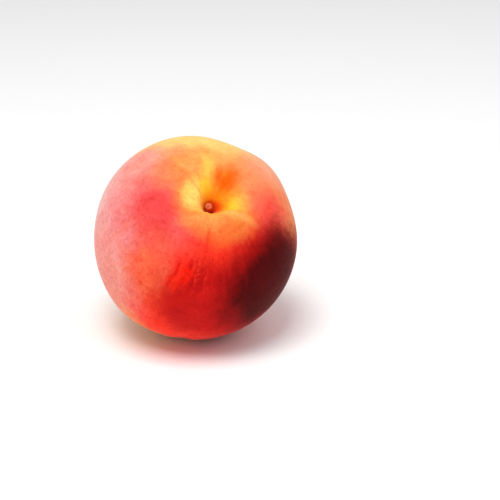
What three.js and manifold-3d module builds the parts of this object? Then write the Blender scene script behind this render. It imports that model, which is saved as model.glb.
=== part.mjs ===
import * as THREE from "three";
import { mergeVertices } from "three/addons/utils/BufferGeometryUtils.js";
import Module from "manifold-3d";

// A whole ripe peach at rest on a level surface, with the woody stub of its stem left in the stem cavity.
// Millimetres, +Z up. The origin is the middle of the small flat spot that the fruit rests on.
// The fruit also has a frame of its own: +Z along the stem axis, the suture on the -Y side, the right
// cheek at +X. There a place on the skin has a polar angle, counted from the stem end, and an azimuth,
// counted from the suture towards the right cheek. Both are in degrees where they are stated as sizes.

const DEGREE = Math.PI / 180;

// Half sizes of the body: to the cheeks, to the suture side, to the stem end and to the tip
const CHEEK_HALF = 38.2;
const SUTURE_HALF = 38.2;
const STEM_HALF = 37.4;
const TIP_HALF = 39.0;
// Share of the girth that the body loses towards the tip
const TIP_TAPER = 0.05;

// Broad swells, and flats with a height below zero, that keep the body from being round
const SWELLS = [
  { name: "lobe right of the suture", polar: 15, azimuth: 38, spread: 9, height: 3.0 },
  { name: "lobe left of the suture", polar: 15, azimuth: -31, spread: 8.5, height: 2.4 },
  { name: "flat on the far shoulder", polar: 62, azimuth: 162, spread: 20, height: -1.1 },
  { name: "swell on the right shoulder", polar: 64, azimuth: 142, spread: 16, height: 0.8 },
  { name: "flat on the right cheek", polar: 70, azimuth: 112, spread: 18, height: -0.6 },
  { name: "flat on the left cheek", polar: 94, azimuth: -88, spread: 22, height: -0.5 },
  { name: "swell low on the left cheek", polar: 108, azimuth: -38, spread: 16, height: 0.6 },
];

// Suture: a shallow valley with a fine crease along its bottom, deeper over the cavity's lip and at the tip
const SUTURE_DEPTH = 0.55;
const SUTURE_HALF_WIDTH = 2.8;
const SUTURE_LIP_DEPTH = 1.5;
const SUTURE_TIP_DEPTH = 0.5;
const SUTURE_TIP_START = 150;
const SUTURE_TIP_FULL = 172;
const CREASE_DEPTH = 0.18;
const CREASE_LIP_DEPTH = 0.25;
const CREASE_HALF_WIDTH = 0.7;
const LIP_POLAR = 15;
const LIP_SPREAD = 9;
// Sideways sway of the suture over the lip
const SUTURE_SWAY = -7;
const SWAY_POLAR = 13;
const SWAY_SPREAD = 12;
// Distances from the stem axis between which the suture sets in
const SUTURE_SETS_IN = 1.5;
const SUTURE_WHOLE = 5;

// Short channel that leaves the cavity on the far side, opposite the suture. Its left edge drifts aside
// between two polar angles, and its middle lies to the right of that edge.
const CHANNEL_DEPTH = 1.8;
const CHANNEL_HALF_WIDTH = 3.2;
const CHANNEL_EDGE_AZIMUTH = 178;
const CHANNEL_EDGE_DRIFT = 8;
const CHANNEL_DRIFT_START = 18;
const CHANNEL_DRIFT_END = 34;
const CHANNEL_OFFSET = 3.7;
const CHANNEL_POLAR = 15;
const CHANNEL_SPREAD = 11;
// Distances from the stem axis between which the channel sets in
const CHANNEL_SETS_IN = 2;
const CHANNEL_WHOLE = 7;

// Stem cavity: a wide bowl, a funnel in it and a steep pit at the bottom, with the bowl's near side
// closed up by the two lobes beside the suture
const BOWL_DEPTH = 8.2;
const BOWL_RADIUS = 11;
const BOWL_NEAR_CLOSING = 0.5;
const BOWL_NEAR_STEEPENING = 0.4;
const FUNNEL_DEPTH = 2.6;
const FUNNEL_RADIUS = 4.2;
const FUNNEL_NEAR_CLOSING = 0.35;
const PIT_DEPTH = 2.0;
const PIT_RADIUS = 2.4;
const NEAR_SIDE_AZIMUTH = 14;
const NEAR_SIDE_FULL = 38;
const NEAR_SIDE_END = 84;

// Tip: a small point in a shallow dimple
const TIP_POINT_HEIGHT = 1.3;
const TIP_POINT_SPREAD = 3.5;
const TIP_DIMPLE_DEPTH = 1.0;
const TIP_DIMPLE_SPREAD = 13;

// Pose at rest: the stem end leans forward and a little to the right
const TILT = 46.8;
const HEADING = 15.6;
const ROLL = -16.0;
// How far the fruit's weight flattens the skin where it rests
const REST_FLAT_DEPTH = 0.8;

// Woody stub of the stem, its foot sunk into a close socket in the pit's floor
const STUB_LENGTH = 5.0;
const STUB_SUNK = 0.5;
const STUB_LEAN = -9;
const STUB_LEAN_BACK = 3;
const STUB_SIDES = 20;
const STUB_END_DISH = 0.3;
// Turned outline of the stub, from foot to end: a share of its length, and a radius
const STUB_OUTLINE = [
  { name: "foot", share: 0, radius: 1.5 },
  { name: "flare", share: 0.12, radius: 1.45 },
  { name: "waist", share: 0.38, radius: 1.25 },
  { name: "neck", share: 0.62, radius: 1.2 },
  { name: "swollen end", share: 0.85, radius: 1.32 },
  { name: "rounded rim", share: 0.96, radius: 1.18 },
  { name: "edge of the dished scar", share: 1, radius: 0.82 },
];
const CLEARANCE = 0.3;
const SOCKET_HEIGHT = 2.4;

// Facets of the skin: rings that crowd towards the stem, and columns that crowd towards the suture and
// the channel
const RINGS = 50;
const RING_CROWDING = 1.4;
const COLUMNS = 84;
const COLUMN_CROWDING = 0.3;

// How close to the flat spot's level a point counts as on it
const LEVEL = 0.001;

// Finishes
const SKIN_COLOUR = 0xee6b4a;
const SKIN_ROUGHNESS = 0.75;
const WOOD_COLOUR = 0xa8663f;
const WOOD_ROUGHNESS = 0.85;

const wasm = await Module();
wasm.setup();

// 1 in the middle, falling to 0 within about two widths
function bell(distance, width) {
  return Math.exp(-((distance / width) ** 2));
}

// The same angle between -half a turn and +half a turn
function wrapped(angle) {
  return THREE.MathUtils.euclideanModulo(angle + Math.PI, 2 * Math.PI) - Math.PI;
}

// Unit vector, in the fruit's frame, of a polar angle and an azimuth
function direction(polar, azimuth) {
  const out = Math.sin(polar);
  return new THREE.Vector3(out * Math.sin(azimuth), -out * Math.cos(azimuth), Math.cos(polar));
}

// Point on the plain body, before its relief and its cavity
function bodyPoint(polar, azimuth) {
  const towards = direction(polar, azimuth);
  const girth = 1 - TIP_TAPER * ((1 - towards.z) / 2) ** 2;
  const endHalf = towards.z > 0 ? STEM_HALF : TIP_HALF;
  return towards.multiply(new THREE.Vector3(CHEEK_HALF * girth, SUTURE_HALF * girth, endHalf));
}

function swellHeight(outward) {
  let height = 0;
  for (const swell of SWELLS) {
    const middle = direction(swell.polar * DEGREE, swell.azimuth * DEGREE);
    height += swell.height * bell(outward.angleTo(middle), swell.spread * DEGREE);
  }
  return height;
}

function sutureDepth(polar, azimuth, axisDistance) {
  const sway = SUTURE_SWAY * DEGREE * bell(polar - SWAY_POLAR * DEGREE, SWAY_SPREAD * DEGREE);
  const across = axisDistance * wrapped(azimuth - sway);
  const lip = bell(polar - LIP_POLAR * DEGREE, LIP_SPREAD * DEGREE);
  const tip = THREE.MathUtils.smoothstep(polar, SUTURE_TIP_START * DEGREE, SUTURE_TIP_FULL * DEGREE);
  const valley = SUTURE_DEPTH + SUTURE_LIP_DEPTH * lip + SUTURE_TIP_DEPTH * tip;
  const crease = CREASE_DEPTH + CREASE_LIP_DEPTH * lip;
  const clearOfPole = THREE.MathUtils.smoothstep(axisDistance, SUTURE_SETS_IN, SUTURE_WHOLE);
  return clearOfPole * (valley * bell(across, SUTURE_HALF_WIDTH) + crease * bell(across, CREASE_HALF_WIDTH));
}

function channelDepth(polar, azimuth, axisDistance) {
  const drifted = THREE.MathUtils.smoothstep(polar, CHANNEL_DRIFT_START * DEGREE, CHANNEL_DRIFT_END * DEGREE);
  const edge = (CHANNEL_EDGE_AZIMUTH + CHANNEL_EDGE_DRIFT * drifted) * DEGREE;
  const pastEdge = axisDistance * wrapped(azimuth - edge);
  const along = bell(polar - CHANNEL_POLAR * DEGREE, CHANNEL_SPREAD * DEGREE);
  const clearOfPole = THREE.MathUtils.smoothstep(axisDistance, CHANNEL_SETS_IN, CHANNEL_WHOLE);
  return CHANNEL_DEPTH * clearOfPole * along * bell(pastEdge + CHANNEL_OFFSET, CHANNEL_HALF_WIDTH);
}

function tipHeight(polar) {
  const fromTip = Math.PI - polar;
  const point = TIP_POINT_HEIGHT * bell(fromTip, TIP_POINT_SPREAD * DEGREE);
  return point - TIP_DIMPLE_DEPTH * bell(fromTip, TIP_DIMPLE_SPREAD * DEGREE);
}

function cavityDepth(azimuth, axisDistance) {
  const fromNearSide = Math.abs(wrapped(azimuth - NEAR_SIDE_AZIMUTH * DEGREE));
  const near = 1 - THREE.MathUtils.smoothstep(fromNearSide, NEAR_SIDE_FULL * DEGREE, NEAR_SIDE_END * DEGREE);
  const bowlShare = axisDistance / (BOWL_RADIUS * (1 - BOWL_NEAR_CLOSING * near));
  const bowl = BOWL_DEPTH * Math.exp(-(bowlShare ** (2 + BOWL_NEAR_STEEPENING * near)));
  const funnel = FUNNEL_DEPTH * bell(axisDistance, FUNNEL_RADIUS * (1 - FUNNEL_NEAR_CLOSING * near));
  const pit = PIT_DEPTH * Math.exp(-((axisDistance / PIT_RADIUS) ** 4));
  return bowl + funnel + pit;
}

// Point on the finished skin
function skinPoint(polar, azimuth) {
  const point = bodyPoint(polar, azimuth);
  const outward = point.clone().normalize();
  const axisDistance = Math.hypot(point.x, point.y);
  const grooves = sutureDepth(polar, azimuth, axisDistance) + channelDepth(polar, azimuth, axisDistance);
  point.addScaledVector(outward, swellHeight(outward) + tipHeight(polar) - grooves);
  if (polar < Math.PI / 2) point.z -= cavityDepth(azimuth, axisDistance);
  return point;
}

// The whole skin as one closed surface: a point at each pole and rings of points between them
function skinGeometry() {
  const points = [skinPoint(0, 0)];
  for (let ring = 1; ring < RINGS; ring += 1) {
    const polar = Math.PI * (ring / RINGS) ** RING_CROWDING;
    for (let column = 0; column < COLUMNS; column += 1) {
      const evenly = (2 * Math.PI * column) / COLUMNS;
      points.push(skinPoint(polar, evenly - COLUMN_CROWDING * Math.sin(2 * evenly)));
    }
  }
  points.push(skinPoint(Math.PI, 0));

  const tip = points.length - 1;
  const at = (ring, column) => 1 + (ring - 1) * COLUMNS + (column % COLUMNS);
  const faces = [];
  for (let column = 0; column < COLUMNS; column += 1) {
    faces.push(0, at(1, column), at(1, column + 1));
    for (let ring = 1; ring < RINGS - 1; ring += 1) {
      faces.push(at(ring, column), at(ring + 1, column), at(ring + 1, column + 1));
      faces.push(at(ring, column), at(ring + 1, column + 1), at(ring, column + 1));
    }
    faces.push(at(RINGS - 1, column), tip, at(RINGS - 1, column + 1));
  }
  const geometry = new THREE.BufferGeometry().setFromPoints(points);
  geometry.setIndex(faces);
  return geometry;
}

function solidOf(geometry) {
  const bare = geometry.clone();
  bare.deleteAttribute("normal");
  bare.deleteAttribute("uv");
  const merged = mergeVertices(bare);
  const vertProperties = new Float32Array(merged.getAttribute("position").array);
  const triVerts = new Uint32Array(merged.index.array);
  return new wasm.Manifold(new wasm.Mesh({ numProp: 3, vertProperties, triVerts }));
}

function geometryOf(solid) {
  const { vertProperties, triVerts } = solid.getMesh();
  const geometry = new THREE.BufferGeometry();
  geometry.setAttribute("position", new THREE.BufferAttribute(vertProperties, 3));
  geometry.setIndex(new THREE.BufferAttribute(triVerts, 1));
  geometry.computeVertexNormals();
  return geometry;
}

// Turn from the fruit's own frame to the pose at rest
const restTurn = new THREE.Matrix4()
  .makeRotationZ(HEADING * DEGREE)
  .multiply(new THREE.Matrix4().makeRotationX(TILT * DEGREE))
  .multiply(new THREE.Matrix4().makeRotationZ(ROLL * DEGREE));

// Foot of the stub, in the fruit's frame, with the stub's lean to the side and back from the suture
const pitFloor = skinPoint(0, 0);
const stubPlace = new THREE.Matrix4()
  .makeTranslation(0, 0, pitFloor.z - STUB_SUNK)
  .multiply(new THREE.Matrix4().makeRotationY(STUB_LEAN * DEGREE))
  .multiply(new THREE.Matrix4().makeRotationX(-STUB_LEAN_BACK * DEGREE));

// Everything below the surface that the fruit is pressed on, in the fruit's frame
function groundGeometry(height) {
  const side = 2 * TIP_HALF;
  return new THREE.BoxGeometry(side, side, side)
    .translate(0, 0, height - side / 2)
    .applyMatrix4(restTurn.clone().invert());
}

// Close round socket for the stub's foot, in the fruit's frame
function socketGeometry() {
  const radius = STUB_OUTLINE[0].radius + CLEARANCE;
  return new THREE.CylinderGeometry(radius, radius, SOCKET_HEIGHT, STUB_SIDES)
    .rotateX(Math.PI / 2)
    .translate(0, 0, SOCKET_HEIGHT / 2 - CLEARANCE)
    .applyMatrix4(stubPlace);
}

// The stub, turned about its own axis, with a dished scar where the fruit was picked
function stubGeometry() {
  const outline = STUB_OUTLINE.map((level) => new THREE.Vector2(level.radius, level.share * STUB_LENGTH));
  const foot = new THREE.Vector2(0, 0);
  const dish = new THREE.Vector2(0, STUB_LENGTH - STUB_END_DISH);
  return new THREE.LatheGeometry([foot, ...outline, dish], STUB_SIDES).rotateX(Math.PI / 2);
}

// Middle of the flat spot, in the pose at rest
function flatSpotMiddle(geometry, height) {
  const position = geometry.getAttribute("position");
  const spot = new THREE.Box3();
  for (let i = 0; i < position.count; i += 1) {
    const point = new THREE.Vector3().fromBufferAttribute(position, i).applyMatrix4(restTurn);
    if (Math.abs(point.z - height) < LEVEL) spot.expandByPoint(point);
  }
  return spot.getCenter(new THREE.Vector3());
}

const wholeSkin = skinGeometry();
const lowest = new THREE.Box3().setFromBufferAttribute(
  wholeSkin.clone().applyMatrix4(restTurn).getAttribute("position"),
).min.z;
const groundHeight = lowest + REST_FLAT_DEPTH;
const fruitGeometry = geometryOf(
  solidOf(wholeSkin).subtract(solidOf(groundGeometry(groundHeight))).subtract(solidOf(socketGeometry())),
);

const fruit = new THREE.Mesh(
  fruitGeometry,
  new THREE.MeshStandardMaterial({ color: SKIN_COLOUR, roughness: SKIN_ROUGHNESS, metalness: 0 }),
);
fruit.name = "fruit";

const stub = new THREE.Mesh(
  stubGeometry(),
  new THREE.MeshStandardMaterial({ color: WOOD_COLOUR, roughness: WOOD_ROUGHNESS, metalness: 0 }),
);
stub.name = "stem_stub";
stub.applyMatrix4(stubPlace);

const rolled = new THREE.Group();
rolled.rotation.z = ROLL * DEGREE;
rolled.add(fruit, stub);

const tilted = new THREE.Group();
tilted.rotation.x = TILT * DEGREE;
tilted.add(rolled);

const turned = new THREE.Group();
turned.rotation.z = HEADING * DEGREE;
turned.position.copy(flatSpotMiddle(fruitGeometry, groundHeight)).negate();
turned.add(tilted);

const peach = new THREE.Group();
peach.name = "peach";
peach.add(turned);

export default peach;
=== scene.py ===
import math

import bpy
import numpy as np
from mathutils import Matrix, Vector


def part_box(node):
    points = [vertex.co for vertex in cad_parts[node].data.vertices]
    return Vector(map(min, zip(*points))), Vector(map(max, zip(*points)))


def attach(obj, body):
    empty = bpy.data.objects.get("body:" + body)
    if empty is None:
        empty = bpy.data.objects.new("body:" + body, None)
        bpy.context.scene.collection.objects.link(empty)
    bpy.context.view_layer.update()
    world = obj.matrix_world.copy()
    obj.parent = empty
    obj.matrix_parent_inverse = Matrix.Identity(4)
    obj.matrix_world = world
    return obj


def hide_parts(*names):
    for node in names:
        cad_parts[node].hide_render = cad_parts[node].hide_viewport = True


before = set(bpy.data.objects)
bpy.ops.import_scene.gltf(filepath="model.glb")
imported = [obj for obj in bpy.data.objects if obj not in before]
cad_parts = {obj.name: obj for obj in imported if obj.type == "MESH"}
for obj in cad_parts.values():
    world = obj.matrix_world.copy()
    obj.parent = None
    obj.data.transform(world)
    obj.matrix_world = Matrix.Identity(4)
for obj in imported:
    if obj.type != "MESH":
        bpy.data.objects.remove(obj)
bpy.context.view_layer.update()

# A whole ripe peach at rest, with the woody stub of its stem in the stem cavity.
# The fruit has a frame of its own: +Z along the stem axis, the suture on the -Y side, the right cheek
# at +X. A place on the skin has a polar angle, counted from the stem end, and an azimuth, counted from
# the suture towards the right cheek. Shapes are worked out in millimetres and made in metres.

MM = 0.001
DEGREE = math.pi / 180

# Half sizes of the body: to the cheeks, to the suture side, to the stem end and to the tip
CHEEK_HALF = 38.2
SUTURE_HALF = 38.2
STEM_HALF = 37.4
TIP_HALF = 39.0
TIP_TAPER = 0.05

# Broad swells, and flats with a height below zero: polar angle, azimuth, spread and height
SWELLS = [
    ("lobe right of the suture", 15, 38, 9, 3.0),
    ("lobe left of the suture", 15, -31, 8.5, 2.4),
    ("flat on the far shoulder", 62, 162, 20, -1.1),
    ("swell on the right shoulder", 64, 142, 16, 0.8),
    ("flat on the right cheek", 70, 112, 18, -0.6),
    ("flat on the left cheek", 94, -88, 22, -0.5),
    ("swell low on the left cheek", 108, -38, 16, 0.6),
]

# Suture: a shallow valley with a fine crease along its bottom
SUTURE_DEPTH = 0.55
SUTURE_HALF_WIDTH = 2.8
SUTURE_LIP_DEPTH = 1.5
SUTURE_TIP_DEPTH = 0.5
SUTURE_TIP_START = 150
SUTURE_TIP_FULL = 172
CREASE_DEPTH = 0.06
CREASE_LIP_DEPTH = 0.4
CREASE_HALF_WIDTH = 0.45
LIP_POLAR = 15
LIP_SPREAD = 9
# Sideways sway of the suture over the lip
SUTURE_SWAY = -7
SWAY_POLAR = 13
SWAY_SPREAD = 12
# Distances from the stem axis between which the suture sets in
SUTURE_SETS_IN = 1.5
SUTURE_WHOLE = 5

# Short channel that leaves the cavity on the far side. Its left edge drifts aside between two polar
# angles, and its middle lies to the right of that edge.
CHANNEL_DEPTH = 1.8
CHANNEL_HALF_WIDTH = 3.2
CHANNEL_EDGE_AZIMUTH = 178
CHANNEL_EDGE_DRIFT = 8
CHANNEL_DRIFT_START = 18
CHANNEL_DRIFT_END = 34
CHANNEL_OFFSET = 3.7
CHANNEL_POLAR = 15
CHANNEL_SPREAD = 11
# Distances from the stem axis between which the channel sets in
CHANNEL_SETS_IN = 2
CHANNEL_WHOLE = 7

# Stem cavity: bowl, funnel and pit, with the bowl's near side closed up by the lobes
BOWL_DEPTH = 8.2
BOWL_RADIUS = 11
BOWL_NEAR_CLOSING = 0.5
BOWL_NEAR_STEEPENING = 0.4
FUNNEL_DEPTH = 2.6
FUNNEL_RADIUS = 4.2
FUNNEL_NEAR_CLOSING = 0.35
PIT_DEPTH = 2.0
PIT_RADIUS = 2.4
NEAR_SIDE_AZIMUTH = 14
NEAR_SIDE_FULL = 38
NEAR_SIDE_END = 84

# Tip: a small point in a shallow dimple
TIP_POINT_HEIGHT = 1.3
TIP_POINT_SPREAD = 3.5
TIP_DIMPLE_DEPTH = 1.0
TIP_DIMPLE_SPREAD = 13

# Pose at rest, and how softly the skin turns into the flat spot that it rests on
TILT = 46.8
HEADING = 15.6
ROLL = -16.0
REST_FLAT_DEPTH = 0.8
REST_EDGE_SOFTNESS = 0.15

# Woody stub of the stem, its foot sunk into the pit's floor
STUB_LENGTH = 5.0
STUB_SUNK = 0.5
STUB_LEAN = -9
STUB_LEAN_BACK = 3
STUB_END_DISH = 0.3
# Outline of the stub, from foot to end: a share of its length, and a radius
STUB_OUTLINE = [
    ("foot", 0, 1.5),
    ("flare", 0.12, 1.45),
    ("waist", 0.38, 1.25),
    ("neck", 0.62, 1.2),
    ("swollen end", 0.85, 1.32),
    ("rounded rim", 0.96, 1.18),
    ("edge of the dished scar", 1, 0.82),
]

# Bark of the stub: ridges round it, how much they twist along it, and their height
BARK_RIDGES = 5
BARK_FINE_RIDGES = 13
BARK_TWIST = 1.5
BARK_RELIEF = 0.035

# Fineness of the stub's mesh
STUB_SIDES = 72
STUB_RINGS = 40
STUB_RING_CROWDING = 0.8

# Fineness of the skin's mesh
RINGS = 250
RING_CROWDING = 1.3
COLUMNS = 380
COLUMN_CROWDING = 0.3

# Streaks are this many times as long as wide where the fruit is widest
STREAK_STRETCH = 4

# Photograph's view: the fruit's middle in a picture of 500 by 500 pixels, and the camera that took it
IMAGE_PIXELS = 500
FRUIT_PIXEL = (195.3, 237.3)
MM_PER_PIXEL = 0.37
CAMERA_ELEVATION = 22
CAMERA_DISTANCE = 0.52
SENSOR_MM = 36

# Studio lights: place and size in metres, and power in watts
KEY_LIGHT = ((-0.18, -0.4, 1.1), 0.6, 10.5)
FILL_LIGHT = ((0.7, -0.3, 1.0), 1.0, 3)
WORLD_STRENGTH = 0.45

# Floor: its reach each way in metres, and its roughness
FLOOR_REACH = 4.0
FLOOR_ROUGHNESS = 0.6
# White of the floor and of the studio round it
WHITE = (1, 1, 1, 1)


def bell(distance, width):
    return np.exp(-((distance / width) ** 2))


def smoothstep(value, low, high):
    share = np.clip((value - low) / (high - low), 0, 1)
    return share * share * (3 - 2 * share)


def wrapped(angle):
    return (angle + math.pi) % (2 * math.pi) - math.pi


def direction(polar, azimuth):
    out = np.sin(polar)
    return np.stack([out * np.sin(azimuth), -out * np.cos(azimuth), np.cos(polar)], axis=-1)


def swell_height(outward):
    height = np.zeros(outward.shape[:-1])
    for _, polar, azimuth, spread, swell in SWELLS:
        middle = direction(polar * DEGREE, azimuth * DEGREE)
        angle = np.arccos(np.clip(outward @ middle, -1, 1))
        height += swell * bell(angle, spread * DEGREE)
    return height


def suture_depth(polar, azimuth, axis_distance):
    sway = SUTURE_SWAY * DEGREE * bell(polar - SWAY_POLAR * DEGREE, SWAY_SPREAD * DEGREE)
    across = axis_distance * wrapped(azimuth - sway)
    lip = bell(polar - LIP_POLAR * DEGREE, LIP_SPREAD * DEGREE)
    tip = smoothstep(polar, SUTURE_TIP_START * DEGREE, SUTURE_TIP_FULL * DEGREE)
    valley = SUTURE_DEPTH + SUTURE_LIP_DEPTH * lip + SUTURE_TIP_DEPTH * tip
    crease = CREASE_DEPTH + CREASE_LIP_DEPTH * lip
    clear_of_pole = smoothstep(axis_distance, SUTURE_SETS_IN, SUTURE_WHOLE)
    depth = valley * bell(across, SUTURE_HALF_WIDTH) + crease * bell(across, CREASE_HALF_WIDTH)
    return clear_of_pole * depth


def channel_depth(polar, azimuth, axis_distance):
    drifted = smoothstep(polar, CHANNEL_DRIFT_START * DEGREE, CHANNEL_DRIFT_END * DEGREE)
    edge = (CHANNEL_EDGE_AZIMUTH + CHANNEL_EDGE_DRIFT * drifted) * DEGREE
    past_edge = axis_distance * wrapped(azimuth - edge)
    along = bell(polar - CHANNEL_POLAR * DEGREE, CHANNEL_SPREAD * DEGREE)
    clear_of_pole = smoothstep(axis_distance, CHANNEL_SETS_IN, CHANNEL_WHOLE)
    return CHANNEL_DEPTH * clear_of_pole * along * bell(past_edge + CHANNEL_OFFSET, CHANNEL_HALF_WIDTH)


def tip_height(polar):
    from_tip = math.pi - polar
    point = TIP_POINT_HEIGHT * bell(from_tip, TIP_POINT_SPREAD * DEGREE)
    return point - TIP_DIMPLE_DEPTH * bell(from_tip, TIP_DIMPLE_SPREAD * DEGREE)


def cavity_depth(azimuth, axis_distance):
    from_near_side = np.abs(wrapped(azimuth - NEAR_SIDE_AZIMUTH * DEGREE))
    near = 1 - smoothstep(from_near_side, NEAR_SIDE_FULL * DEGREE, NEAR_SIDE_END * DEGREE)
    bowl_share = axis_distance / (BOWL_RADIUS * (1 - BOWL_NEAR_CLOSING * near))
    bowl = BOWL_DEPTH * np.exp(-(bowl_share ** (2 + BOWL_NEAR_STEEPENING * near)))
    funnel = FUNNEL_DEPTH * bell(axis_distance, FUNNEL_RADIUS * (1 - FUNNEL_NEAR_CLOSING * near))
    pit = PIT_DEPTH * np.exp(-((axis_distance / PIT_RADIUS) ** 4))
    return bowl + funnel + pit


def skin_points(polar, azimuth):
    """Points on the skin in the fruit's frame, in millimetres, for arrays of polar angle and azimuth."""
    towards = direction(polar, azimuth)
    upward = towards[..., 2]
    girth = 1 - TIP_TAPER * ((1 - upward) / 2) ** 2
    end_half = np.where(upward > 0, STEM_HALF, TIP_HALF)
    points = towards * np.stack([CHEEK_HALF * girth, SUTURE_HALF * girth, end_half], axis=-1)
    outward = points / np.linalg.norm(points, axis=-1, keepdims=True)
    axis_distance = np.hypot(points[..., 0], points[..., 1])
    grooves = suture_depth(polar, azimuth, axis_distance) + channel_depth(polar, azimuth, axis_distance)
    relief = swell_height(outward) + tip_height(polar) - grooves
    points = points + outward * relief[..., None]
    sunk = np.where(polar < math.pi / 2, cavity_depth(azimuth, axis_distance), 0)
    points[..., 2] -= sunk
    return points


rest_turn = (
    Matrix.Rotation(HEADING * DEGREE, 3, "Z")
    @ Matrix.Rotation(TILT * DEGREE, 3, "X")
    @ Matrix.Rotation(ROLL * DEGREE, 3, "Z")
)


def turned(points):
    """Points turned from the fruit's frame to the pose at rest."""
    return points @ np.array(rest_turn).T


def pole_to_pole(rings, crowding):
    return math.pi * np.linspace(0, 1, rings + 1)[1:-1] ** crowding


def closed_faces(rings, columns):
    """Faces of a pole point, rings - 1 rings of points and a second pole point, all facing out."""
    last = 1 + (rings - 1) * columns

    def at(ring, column):
        return 1 + (ring - 1) * columns + column % columns

    faces = []
    for column in range(columns):
        faces.append((0, at(1, column), at(1, column + 1)))
        for ring in range(1, rings - 1):
            faces.append(
                (at(ring, column), at(ring + 1, column), at(ring + 1, column + 1), at(ring, column + 1))
            )
        faces.append((at(rings - 1, column), last, at(rings - 1, column + 1)))
    return faces


def smooth_piece(name, points, faces, material):
    """A smooth-shaded mesh object in metres, from points in millimetres."""
    mesh = bpy.data.meshes.new(name)
    mesh.from_pydata((points * MM).tolist(), [], faces)
    mesh.polygons.foreach_set("use_smooth", [True] * len(mesh.polygons))
    mesh.materials.append(material)
    mesh.update()
    piece = bpy.data.objects.new(name, mesh)
    bpy.context.scene.collection.objects.link(piece)
    return piece


def store_vectors(piece, name, vectors):
    attribute = piece.data.attributes.new(name, "FLOAT_VECTOR", "POINT")
    attribute.data.foreach_set("vector", np.asarray(vectors, dtype=np.float32).ravel())


def linear(red, green, blue):
    """A colour for a shader socket from the usual 0 to 255 values, by the standard formula of sRGB."""

    def channel(value):
        share = value / 255
        return share / 12.92 if share <= 0.04045 else ((share + 0.055) / 1.055) ** 2.4

    return (channel(red), channel(green), channel(blue), 1.0)


# Colours of a ripe peach
BUTTER = linear(240, 204, 116)
APRICOT = linear(242, 158, 84)
SALMON = linear(242, 134, 88)
RUST_ORANGE = linear(237, 124, 58)
GOLD = linear(245, 182, 72)
DEEP_GOLD = linear(244, 162, 6)
LEMON = linear(250, 226, 122)
YELLOW = linear(246, 202, 40)
STRIPE_YELLOW = linear(246, 200, 84)
# Partly the skin's colour, partly painted shade in the channel's hollow
ORANGE = linear(246, 98, 2)
LOBE_ORANGE = linear(246, 130, 58)
# Painted highlight on the crests of the lobes and on the lip of the suture
CREST_HIGHLIGHT = linear(245, 178, 94)
CHEEK_RED = linear(238, 76, 66)
# Painted shade in the crease
CREASE_SHADE_RED = linear(206, 40, 22)
# Partly the skin's pale pink, partly a painted sheen of the velvet rim
PALE_PINK_AND_SHEEN = linear(243, 188, 182)
PALE_SALMON = linear(242, 168, 134)
SALMON_PINK = linear(234, 146, 132)
PINK = linear(236, 136, 134)
ROSE = linear(226, 68, 68)
CORAL = linear(244, 90, 54)
LOW_ORANGE = linear(246, 124, 70)
PALE_CORAL = linear(246, 148, 136)
SCARLET = linear(250, 56, 34)
BRIGHT_SCARLET = linear(246, 26, 0)
CRIMSON = linear(190, 12, 14)
# Partly a dark blush of the skin, partly painted shade
MAROON_BLUSH_AND_SHADE = linear(76, 0, 2)
# Pit colours: painted glow on the funnel and wall, painted shade on the floor
FUNNEL_GLOW_ORANGE = linear(248, 132, 6)
PIT_GLOW_RED = linear(240, 78, 8)
PIT_FLOOR_SHADE_RED = linear(190, 34, 8)
BARK = linear(206, 84, 40)
BARK_DARK = linear(150, 44, 18)
SCAR = linear(208, 94, 50)
SCAR_DARK = linear(130, 44, 20)

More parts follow.
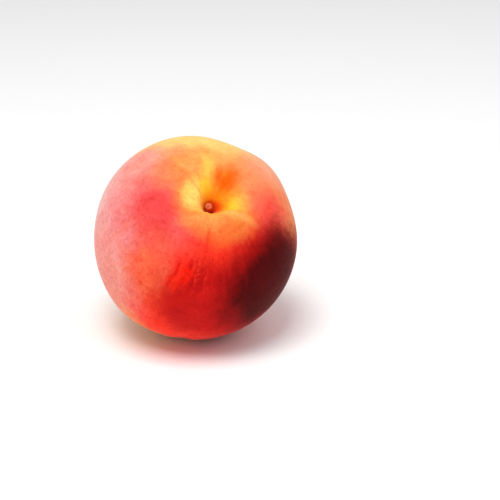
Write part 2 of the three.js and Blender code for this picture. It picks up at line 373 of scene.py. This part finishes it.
# Patches of colour, laid over each other in this order: polar angle, azimuth, reach across and along
# the meridian in degrees, softness of the edge, colour and strength
PATCHES = [
    ("red of the whole front", 64, 10, 62, 46, 0.24, SCARLET, 1.0),
    ("red underside of the right cheek", 104, 66, 54, 54, 0.3, CRIMSON, 0.9),
    ("salmon right shoulder", 40, 120, 22, 24, 0.5, SALMON, 0.95),
    # Pale pink of the left cheek: partly the skin's own colour, partly a painted sheen of the velvet rim
    ("pale pink of the left cheek", 72, -88, 40, 44, 0.4, PALE_PINK_AND_SHEEN, 1.0),
    ("pink of the left cheek", 44, -78, 30, 18, 0.7, PINK, 1.0),
    ("salmon of the upper left", 50, -124, 22, 16, 0.7, SALMON_PINK, 0.8),
    ("rose of the left cheek", 30, -72, 22, 11, 0.65, ROSE, 0.97),
    ("yellow far side", 98, -178, 45, 62, 0.15, BUTTER, 0.95),
    ("pale salmon of the right shoulder", 62, 140, 14, 24, 0.6, PALE_SALMON, 0.85),
    ("coral below the left lobe", 56, -40, 13, 20, 0.7, CORAL, 0.9),
    ("scarlet below the left lobe", 35, -21, 7, 9, 0.8, SCARLET, 0.6),
    ("pale coral low on the left", 90, -60, 26, 24, 0.6, PALE_CORAL, 0.85),
    ("red edge of the right cheek", 35, 88, 14, 10.5, 0.7, CHEEK_RED, 0.9),
    ("crimson lower front", 63, 8, 30, 24.5, 0.32, CRIMSON, 0.9),
    # Crimson to maroon on the right front: partly the skin's dark blush, partly painted shade darkening
    # the lower right
    ("crimson right front", 48, 50, 24, 15, 0.5, CRIMSON, 0.9),
    ("maroon right front", 65, 51, 31, 29, 0.4, MAROON_BLUSH_AND_SHADE, 0.98),
    ("maroon of the right edge", 50, 70, 14, 14, 0.5, MAROON_BLUSH_AND_SHADE, 0.75),
    ("scarlet streaks", 46, -20, 2.8, 8, 0.8, BRIGHT_SCARLET, 0.85),
    ("second scarlet streak", 43, -14.5, 1.8, 6, 0.8, BRIGHT_SCARLET, 0.8),
    ("crimson streaks beside the suture", 45, -10, 2.4, 8, 0.8, CRIMSON, 0.75),
    ("second crimson streak", 47, -4, 2.2, 8, 0.8, CRIMSON, 0.6),
    ("orange ring round the cavity", 5, -136, 18.5, 18.5, 0.3, RUST_ORANGE, 0.95),
    ("orange left of the far side", 29, -134, 13, 10, 0.8, RUST_ORANGE, 0.85),
    ("apricot above the cavity", 25, -163, 13, 10, 0.6, APRICOT, 0.8),
    ("gold round the cavity", 4, -146, 11.5, 11.5, 0.5, GOLD, 0.95),
    ("pale gold left of the cavity", 11, -113, 7, 5.5, 0.8, LEMON, 1.0),
    ("deep gold right of the pit", 8, 155, 9, 5, 0.8, DEEP_GOLD, 1.0),
    ("golden arm to the right", 12, 88, 9.5, 5.5, 0.8, GOLD, 0.85),
    ("yellow heart of the golden arm", 8.5, 86, 6, 4, 0.8, YELLOW, 0.75),
    ("orange of the right lobe", 18, 40, 12, 5.5, 0.7, LOBE_ORANGE, 0.9),
    ("orange of the left lobe", 18, -26, 9, 4.5, 0.7, LOBE_ORANGE, 0.7),
    ("yellow stripe on the far side", 16, -170, 4, 11, 0.9, STRIPE_YELLOW, 0.9),
    ("yellow foot of the stripe", 9, -160, 4, 5, 0.8, YELLOW, 0.8),
    # Deep orange in the channel's hollow: partly the skin's colour, partly painted shade
    ("orange hollow", 17, 158, 7, 8, 0.7, ORANGE, 1.0),
]
# Marks on the lip between the lobes: as patches, with a turn away from the meridian at the end. The
# crests and the suture's lip carry a painted highlight, and the crease a painted shade line.
LIP_MARKS = [
    # Painted highlights along the crests of the lobes and the suture's lip
    ("crest of the right lobe", 14.5, 58, 8.5, 2.6, 0.9, CREST_HIGHLIGHT, 0.7, 66),
    ("crest of the left lobe", 15, -34, 7, 2.6, 0.9, CREST_HIGHLIGHT, 0.3, -51),
    ("pale lip of the suture", 14, -7, 4.5, 4.5, 0.9, CREST_HIGHLIGHT, 0.6, 0),
    # Painted shade along the crease
    ("dark line along the crease", 22, -4, 0.9, 10, 0.9, CREASE_SHADE_RED, 0.42, 4),
]
# Patches in the pit, too small for their edges to wander. They are partly the skin's own colour, with a
# painted glow of light through the flesh on the funnel and wall and painted shade on the floor
PIT_PATCHES = [
    ("orange funnel", 3, 140, 7, 7, 0.5, FUNNEL_GLOW_ORANGE, 0.9),
    ("red wall of the pit", 1.8, 100, 4.3, 4.3, 0.45, PIT_GLOW_RED, 0.95),
    ("dark red floor of the pit", 0.6, 90, 2.7, 2.7, 0.5, PIT_FLOOR_SHADE_RED, 0.9),
]

# Zones that carry marks of their own, and the dark blush, which is partly painted shade, with its weaker
# sheen: as patches, up to the softness of the edge
RAY_ZONE = (22, -170, 22, 20, 0.6)
STREAK_ZONE = (42, -9, 13, 13, 0.7)
FLECK_ZONE = (57, -54, 18, 16, 0.7)
BLUSH_ZONE = (72, -26, 88, 56, 0.6)
HATCH_ZONE = (40, -5, 14, 12, 0.6)
DARK_BLUSH_AND_SHADE_ZONE = (64, 54, 32, 30, 0.4)

# Noises: scale, detail and roughness
BROAD_WANDER_NOISE = (3.2, 3.0, 0.5)
WANDER_NOISE = (14.0, 3.0, 0.6)
FINE_WANDER_NOISE = (55.0, 2.0, 0.5)
STREAK_NOISE = (14.0, 4.0, 0.6)
BREAK_NOISE = (26.0, 4.0, 0.7)
RAY_NOISE = (5.0, 4.0, 0.6)
FLECK_NOISE = (9.0, 4.0, 0.6)
CLOUD_NOISE = (8.0, 5.0, 0.65)
MOTTLE_NOISE = (30.0, 5.0, 0.7)
HATCH_NOISE = (60.0, 4.0, 0.7)
SPECKLE_NOISE = (110.0, 2.0, 0.5)
FUZZ_NOISE = (160.0, 3.0, 0.5)
BARK_NOISE = (2.2, 5.0, 0.7)
# Middle of a noise's values, and the range in which most of them lie
NOISE_MIDDLE = 0.5
NOISE_RANGE = (0.3, 0.7)

# How far each noise moves the edges of the patches, on a sphere of radius 1
BROAD_WANDER = 0.2
WANDER = 0.1
FINE_WANDER = 0.05
STREAK_WANDER = 0.14
# Share of the first three that is left at the stem, and the heights on that sphere between which the
# whole sets in
NEAR_WANDER_SHARE = 0.35
NEAR_STEM_HEIGHT = 0.97
CLEAR_OF_STEM_HEIGHT = 0.7

# Marks: the noise's value at which they set in, the one at which they are whole, and their strength
# there. Streaks go by the sum of two noises.
GOLD_RAYS = (0.5, 0.7, 0.4)
RUST_RAYS = (0.48, 0.3, 0.4)
DARK_STREAKS = (1.0, 1.2, 0.6)
BRIGHT_STREAKS = (0.96, 0.78, 0.5)
ORANGE_FLECKS = (0.45, 0.7, 0.5)
PALE_CLOUDS = (0.5, 0.75, 0.35)
DEEP_CLOUDS = (0.5, 0.3, 0.3)
GRAINS = (0.46, 0.64, 0.3)
STROKES = (0.5, 0.7, 0.2)
PALE_SPECKS = (0.6, 0.75, 0.25)
# Weight of the strokes' own zone, where the blush has 1
HATCH_WEIGHT = 2.0

# Finish of the skin: roughness from the palest to the deepest mottle, light that glows through the
# flesh, and a velvet sheen that is weaker on the dark blush, where it is part of the painted shade
SKIN_ROUGHNESS = (0.55, 0.7)
SKIN_SPECULAR = 0.05
SUBSURFACE_WEIGHT = 0.12
SUBSURFACE_RADIUS = (1.0, 0.35, 0.15)
SUBSURFACE_MM = 2.5
SHEEN_WEIGHT = 0.22
SHADED_SHEEN_WEIGHT = 0.08
SHEEN_ROUGHNESS = 0.25
SHEEN_TINT = (1.0, 0.78, 0.74, 1.0)
FUZZ_STRENGTH = 0.12
FUZZ_MM = 0.2

# Scar on the stub's end: the shares of its length between which it sets in, and the place of its dark
# pith with the radii between which that fades out
SCAR_SETS_IN = 0.9
SCAR_WHOLE = 0.97
PITH_MIDDLE = (-0.25, -0.3, STUB_LENGTH)
PITH_INNER_RADIUS = 0.2
PITH_OUTER_RADIUS = 0.55
# Bark: the noise's values between which it darkens, dark marks over bark and scar, and roughness
BARK_GRAIN = (0.4, 0.65)
DARK_GRAIN = (0.5, 0.7, 0.5)
BARK_ROUGHNESS = (0.7, 0.9)

# Sockets of the Mix node for colours, found by number because it has more than one of each name
MIX_FACTOR = 0
MIX_FIRST = 6
MIX_SECOND = 7
MIX_RESULT = 2


class Nodes:
    """A material's node tree, with short calls that add a node and link its inputs."""

    def __init__(self, name):
        self.material = bpy.data.materials.new(name)
        self.material.use_nodes = True
        self.tree = self.material.node_tree
        self.shader = self.tree.nodes["Principled BSDF"]

    def add(self, kind, inputs=None, **settings):
        node = self.tree.nodes.new(kind)
        for key, value in settings.items():
            setattr(node, key, value)
        for socket, value in (inputs or {}).items():
            self.put(node.inputs[socket], value)
        return node

    def put(self, socket, value):
        """Links an output to the socket, or sets the socket to a plain value."""
        if isinstance(value, bpy.types.NodeSocket):
            self.tree.links.new(value, socket)
        else:
            socket.default_value = value

    def attribute(self, name):
        return self.add("ShaderNodeAttribute", attribute_name=name).outputs["Vector"]

    def noise(self, vector, scale, detail, roughness):
        return self.add(
            "ShaderNodeTexNoise",
            {"Vector": vector, "Scale": scale, "Detail": detail, "Roughness": roughness},
        )

    def ramp(self, value, low, high, to_low=0.0, to_high=1.0):
        """Value mapped smoothly from low..high to to_low..to_high."""
        node = self.add(
            "ShaderNodeMapRange",
            {"Value": value, "From Min": low, "From Max": high, "To Min": to_low, "To Max": to_high},
            interpolation_type="SMOOTHSTEP",
        )
        return node.outputs["Result"]

    def height(self, vector):
        return self.add("ShaderNodeSeparateXYZ", {"Vector": vector}).outputs["Z"]

    def math(self, operation, first, second):
        node = self.add("ShaderNodeMath", {0: first, 1: second}, operation=operation)
        return node.outputs["Value"]

    def vector_math(self, operation, first, second):
        node = self.add("ShaderNodeVectorMath", {0: first, 1: second}, operation=operation)
        return node.outputs["Vector"]

    def length(self, vector):
        return self.add("ShaderNodeVectorMath", {0: vector}, operation="LENGTH").outputs["Value"]

    def offset(self, vector, colour, amount):
        """Vector moved by a noise colour, up to half the amount each way along each axis."""
        centred = self.vector_math("SUBTRACT", colour, (NOISE_MIDDLE,) * 3)
        return self.vector_math("ADD", vector, self.vector_math("MULTIPLY", centred, (amount,) * 3))

    def mix(self, factor, first, second, blend="MIX"):
        """Colour mixed from first to second."""
        node = self.add("ShaderNodeMix", data_type="RGBA", blend_type=blend)
        self.put(node.inputs[MIX_FACTOR], factor)
        self.put(node.inputs[MIX_FIRST], first)
        self.put(node.inputs[MIX_SECOND], second)
        return node.outputs[MIX_RESULT]


def patch_mask(nodes, place, polar, azimuth, across, along, softness, turn=0):
    """1 inside an oval patch of the skin and 0 outside it, with a soft edge."""
    polar, azimuth, turn = polar * DEGREE, azimuth * DEGREE, turn * DEGREE
    outward = Vector(direction(polar, azimuth))
    east = Vector((math.cos(azimuth), math.sin(azimuth), 0))
    south = outward.cross(east).normalized() * -1
    first = east * math.cos(turn) + south * math.sin(turn)
    second = south * math.cos(turn) - east * math.sin(turn)
    rotation = Matrix((first, second, outward)).transposed().to_euler()
    reaches = [2 * math.sin(reach * DEGREE / 2) for reach in (across, along)]
    local = nodes.add(
        "ShaderNodeMapping",
        {"Vector": place, "Location": outward, "Rotation": rotation, "Scale": (*reaches, max(reaches))},
        vector_type="TEXTURE",
    ).outputs["Vector"]
    return nodes.ramp(nodes.length(local), 1 - softness, 1 + softness, 1.0, 0.0)


def marks(nodes, noise, levels, zone=None):
    """Strength of the marks where a noise value passes their levels, within a zone if one is given."""
    sets_in, whole, strength = levels
    found = nodes.ramp(noise, sets_in, whole, 0.0, strength)
    if zone is None:
        return found
    return nodes.math("MULTIPLY", found, zone)


def painted(nodes, colour, place, patches):
    """Colour with patches laid over it in their order."""
    for _, polar, azimuth, across, along, softness, paint, strength, *turn in patches:
        mask = patch_mask(nodes, place, polar, azimuth, across, along, softness, *turn)
        colour = nodes.mix(nodes.math("MULTIPLY", mask, strength), colour, paint)
    return colour


def wandering_places(nodes, place, streaks):
    """Places on the skin moved by noise, near the stem and over the whole fruit."""
    moved = nodes.offset(place, nodes.noise(place, *BROAD_WANDER_NOISE).outputs["Color"], BROAD_WANDER)
    moved = nodes.offset(moved, nodes.noise(place, *WANDER_NOISE).outputs["Color"], WANDER)
    moved = nodes.offset(moved, nodes.noise(place, *FINE_WANDER_NOISE).outputs["Color"], FINE_WANDER)
    near_stem = nodes.mix(NEAR_WANDER_SHARE, place, moved)
    streaky = nodes.offset(moved, streaks.outputs["Color"], STREAK_WANDER)
    away_from_stem = nodes.ramp(nodes.height(place), NEAR_STEM_HEIGHT, CLEAR_OF_STEM_HEIGHT)
    return near_stem, nodes.mix(away_from_stem, near_stem, streaky)


def skin_material():
    nodes = Nodes("peach_skin")
    place = nodes.attribute("place")
    meridian = nodes.attribute("meridian")
    streaks = nodes.noise(meridian, *STREAK_NOISE)
    near_stem, wandering = wandering_places(nodes, place, streaks)

    colour = painted(nodes, APRICOT, wandering, PATCHES)
    colour = painted(nodes, colour, near_stem, LIP_MARKS)
    colour = painted(nodes, colour, place, PIT_PATCHES)

    rays = nodes.noise(meridian, *RAY_NOISE).outputs["Fac"]
    ray_zone = patch_mask(nodes, near_stem, *RAY_ZONE)
    colour = nodes.mix(marks(nodes, rays, GOLD_RAYS, ray_zone), colour, GOLD)
    colour = nodes.mix(marks(nodes, rays, RUST_RAYS, ray_zone), colour, RUST_ORANGE)

    breaks = nodes.noise(place, *BREAK_NOISE).outputs["Fac"]
    broken = nodes.math("ADD", streaks.outputs["Fac"], breaks)
    streak_zone = patch_mask(nodes, wandering, *STREAK_ZONE)
    colour = nodes.mix(marks(nodes, broken, DARK_STREAKS, streak_zone), colour, CRIMSON)
    colour = nodes.mix(marks(nodes, broken, BRIGHT_STREAKS, streak_zone), colour, SCARLET)

    flecks = nodes.noise(place, *FLECK_NOISE).outputs["Fac"]
    fleck_zone = patch_mask(nodes, wandering, *FLECK_ZONE)
    colour = nodes.mix(marks(nodes, flecks, ORANGE_FLECKS, fleck_zone), colour, LOW_ORANGE)

    clouds = nodes.noise(place, *CLOUD_NOISE).outputs["Fac"]
    colour = nodes.mix(marks(nodes, clouds, PALE_CLOUDS), colour, colour, "SCREEN")
    colour = nodes.mix(marks(nodes, clouds, DEEP_CLOUDS), colour, colour, "MULTIPLY")

    blushed = patch_mask(nodes, wandering, *BLUSH_ZONE)
    mottle = nodes.noise(place, *MOTTLE_NOISE).outputs["Fac"]
    colour = nodes.mix(marks(nodes, mottle, GRAINS, blushed), colour, ROSE, "MULTIPLY")
    hatch = nodes.noise(meridian, *HATCH_NOISE).outputs["Fac"]
    hatch_zone = patch_mask(nodes, wandering, *HATCH_ZONE)
    hatching = nodes.math("ADD", nodes.math("MULTIPLY", hatch_zone, HATCH_WEIGHT), blushed)
    colour = nodes.mix(marks(nodes, hatch, STROKES, hatching), colour, ROSE, "MULTIPLY")
    speckle = nodes.noise(place, *SPECKLE_NOISE).outputs["Fac"]
    colour = nodes.mix(marks(nodes, speckle, PALE_SPECKS), colour, colour, "SCREEN")

    fuzz = nodes.noise(place, *FUZZ_NOISE).outputs["Fac"]
    bump = nodes.add(
        "ShaderNodeBump",
        {"Height": fuzz, "Strength": FUZZ_STRENGTH, "Distance": FUZZ_MM * MM},
    )
    # Dark blush, partly painted shade: the sheen is weaker there
    dark_blush_and_shade = patch_mask(nodes, wandering, *DARK_BLUSH_AND_SHADE_ZONE)
    shader = nodes.shader.inputs
    nodes.put(shader["Base Color"], colour)
    nodes.put(shader["Normal"], bump.outputs["Normal"])
    nodes.put(shader["Roughness"], nodes.ramp(mottle, *NOISE_RANGE, *SKIN_ROUGHNESS))
    nodes.put(shader["Sheen Weight"], nodes.ramp(dark_blush_and_shade, 0.0, 1.0, SHEEN_WEIGHT, SHADED_SHEEN_WEIGHT))
    shader["Sheen Roughness"].default_value = SHEEN_ROUGHNESS
    shader["Sheen Tint"].default_value = SHEEN_TINT
    shader["Specular IOR Level"].default_value = SKIN_SPECULAR
    shader["Subsurface Weight"].default_value = SUBSURFACE_WEIGHT
    shader["Subsurface Radius"].default_value = SUBSURFACE_RADIUS
    shader["Subsurface Scale"].default_value = SUBSURFACE_MM * MM
    return nodes.material


def stub_material():
    nodes = Nodes("stem_wood")
    place = nodes.attribute("place")
    grain = nodes.noise(place, *BARK_NOISE).outputs["Fac"]
    bark = nodes.mix(nodes.ramp(grain, *BARK_GRAIN), BARK, BARK_DARK)
    scar_levels = (SCAR_SETS_IN * STUB_LENGTH, SCAR_WHOLE * STUB_LENGTH)
    scarred = nodes.mix(nodes.ramp(nodes.height(place), *scar_levels), bark, SCAR)
    from_pith = nodes.length(nodes.vector_math("SUBTRACT", place, PITH_MIDDLE))
    pith = nodes.ramp(from_pith, PITH_INNER_RADIUS, PITH_OUTER_RADIUS, 1.0, 0.0)
    colour = nodes.mix(pith, scarred, SCAR_DARK)
    colour = nodes.mix(marks(nodes, grain, DARK_GRAIN), colour, BARK_DARK)
    nodes.put(nodes.shader.inputs["Base Color"], colour)
    nodes.put(nodes.shader.inputs["Roughness"], nodes.ramp(grain, *NOISE_RANGE, *BARK_ROUGHNESS))
    return nodes.material


def make_skin():
    polar = pole_to_pole(RINGS, RING_CROWDING)
    evenly = 2 * math.pi * np.arange(COLUMNS) / COLUMNS
    azimuth = evenly - COLUMN_CROWDING * np.sin(2 * evenly)
    polar, azimuth = np.meshgrid(polar, azimuth, indexing="ij")
    polar = np.concatenate([[0], polar.ravel(), [math.pi]])
    azimuth = np.concatenate([[0], azimuth.ravel(), [0]])
    points = turned(skin_points(polar, azimuth))

    ground = points[:, 2].min() + REST_FLAT_DEPTH
    above = (points[:, 2] - ground) / REST_EDGE_SOFTNESS
    points[:, 2] = REST_EDGE_SOFTNESS * np.logaddexp(0, above)
    low, high = (np.array(corner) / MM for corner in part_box("fruit"))
    shift = (low + high - points.min(axis=0) - points.max(axis=0)) / 2
    points[:, :2] += shift[:2]
    middle = np.array([shift[0], shift[1], -ground])

    skin = smooth_piece("peach_skin", points, closed_faces(RINGS, COLUMNS), skin_material())
    store_vectors(skin, "place", direction(polar, azimuth))
    meridian = np.stack([np.sin(azimuth), np.cos(azimuth), polar / STREAK_STRETCH], axis=-1)
    store_vectors(skin, "meridian", meridian)
    return skin, middle


def stub_points():
    """Rings of points on the stub from its end down to its foot, with bark ridges, in its own frame."""
    _, shares, radii = zip(*STUB_OUTLINE)
    share = np.linspace(1, 0, STUB_RINGS) ** STUB_RING_CROWDING
    radius = np.interp(share, shares, radii)
    around = 2 * math.pi * np.arange(STUB_SIDES) / STUB_SIDES
    share, turn = np.meshgrid(share, around, indexing="ij")
    twist = BARK_TWIST * share
    ridges = np.cos(BARK_RIDGES * turn + twist) + np.cos(BARK_FINE_RIDGES * turn - twist)
    radius = radius[:, None] + BARK_RELIEF * ridges
    side = np.stack([radius * np.cos(turn), radius * np.sin(turn), share * STUB_LENGTH], axis=-1)
    side = side.reshape(-1, 3)
    dish = (0, 0, STUB_LENGTH - STUB_END_DISH)
    return np.vstack([dish, side, (0, 0, 0)])


def make_stub(middle):
    """The stub, standing in the pit. middle is the fruit's middle in the pose at rest."""
    local = stub_points()
    lean = np.array(
        Matrix.Rotation(STUB_LEAN * DEGREE, 3, "Y") @ Matrix.Rotation(-STUB_LEAN_BACK * DEGREE, 3, "X")
    )
    pit_floor = skin_points(np.array([0.0]), np.array([0.0]))[0]
    foot = np.array([0, 0, pit_floor[2] - STUB_SUNK])
    points = turned(local @ lean.T + foot) + middle
    faces = closed_faces(STUB_RINGS + 1, STUB_SIDES)
    stub = smooth_piece("stem_stub_wood", points, faces, stub_material())
    store_vectors(stub, "place", local)
    return stub


def make_floor():
    mesh = bpy.data.meshes.new("floor")
    sides = ((-1, -1), (1, -1), (1, 1), (-1, 1))
    corners = [(x * FLOOR_REACH, y * FLOOR_REACH, 0) for x, y in sides]
    mesh.from_pydata(corners, [], [(0, 1, 2, 3)])
    nodes = Nodes("floor_white")
    nodes.shader.inputs["Base Color"].default_value = WHITE
    nodes.shader.inputs["Roughness"].default_value = FLOOR_ROUGHNESS
    mesh.materials.append(nodes.material)
    floor = bpy.data.objects.new("floor", mesh)
    bpy.context.scene.collection.objects.link(floor)


def make_camera(middle):
    """The camera looks from the photograph's side, and turns until the fruit's middle is at its pixel."""
    middle = Vector(middle) * MM
    elevation = CAMERA_ELEVATION * DEGREE
    towards = Vector((0, -math.cos(elevation), math.sin(elevation)))
    right = Vector((1, 0, 0))
    up = towards.cross(right)
    aside = (IMAGE_PIXELS / 2 - FRUIT_PIXEL[0]) * MM_PER_PIXEL * MM
    down = (IMAGE_PIXELS / 2 - FRUIT_PIXEL[1]) * MM_PER_PIXEL * MM
    target = middle + right * aside - up * down

    data = bpy.data.cameras.new("camera")
    data.sensor_width = SENSOR_MM
    data.lens = SENSOR_MM * CAMERA_DISTANCE / (IMAGE_PIXELS * MM_PER_PIXEL * MM)
    camera = bpy.data.objects.new("camera", data)
    camera.location = middle + towards * CAMERA_DISTANCE
    camera.rotation_euler = (target - camera.location).to_track_quat("-Z", "Y").to_euler()
    bpy.context.scene.collection.objects.link(camera)
    bpy.context.scene.camera = camera


def area_light(name, target, location, size, power):
    data = bpy.data.lights.new(name, "AREA")
    data.size = size
    data.energy = power
    light = bpy.data.objects.new(name, data)
    light.location = location
    light.rotation_euler = (Vector(target) - light.location).to_track_quat("-Z", "Y").to_euler()
    bpy.context.scene.collection.objects.link(light)


def make_lights(middle):
    target = Vector(middle) * MM
    area_light("key", target, *KEY_LIGHT)
    area_light("fill", target, *FILL_LIGHT)
    world = bpy.data.worlds.new("studio")
    world.use_nodes = True
    background = world.node_tree.nodes["Background"]
    background.inputs["Color"].default_value = WHITE
    background.inputs["Strength"].default_value = WORLD_STRENGTH
    bpy.context.scene.world = world
    bpy.context.scene.view_settings.view_transform = "Standard"


skin, middle = make_skin()
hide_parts("fruit")
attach(skin, "root")

stub = make_stub(middle)
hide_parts("stem_stub")
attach(stub, "root")

make_floor()
make_camera(middle)
make_lights(middle)
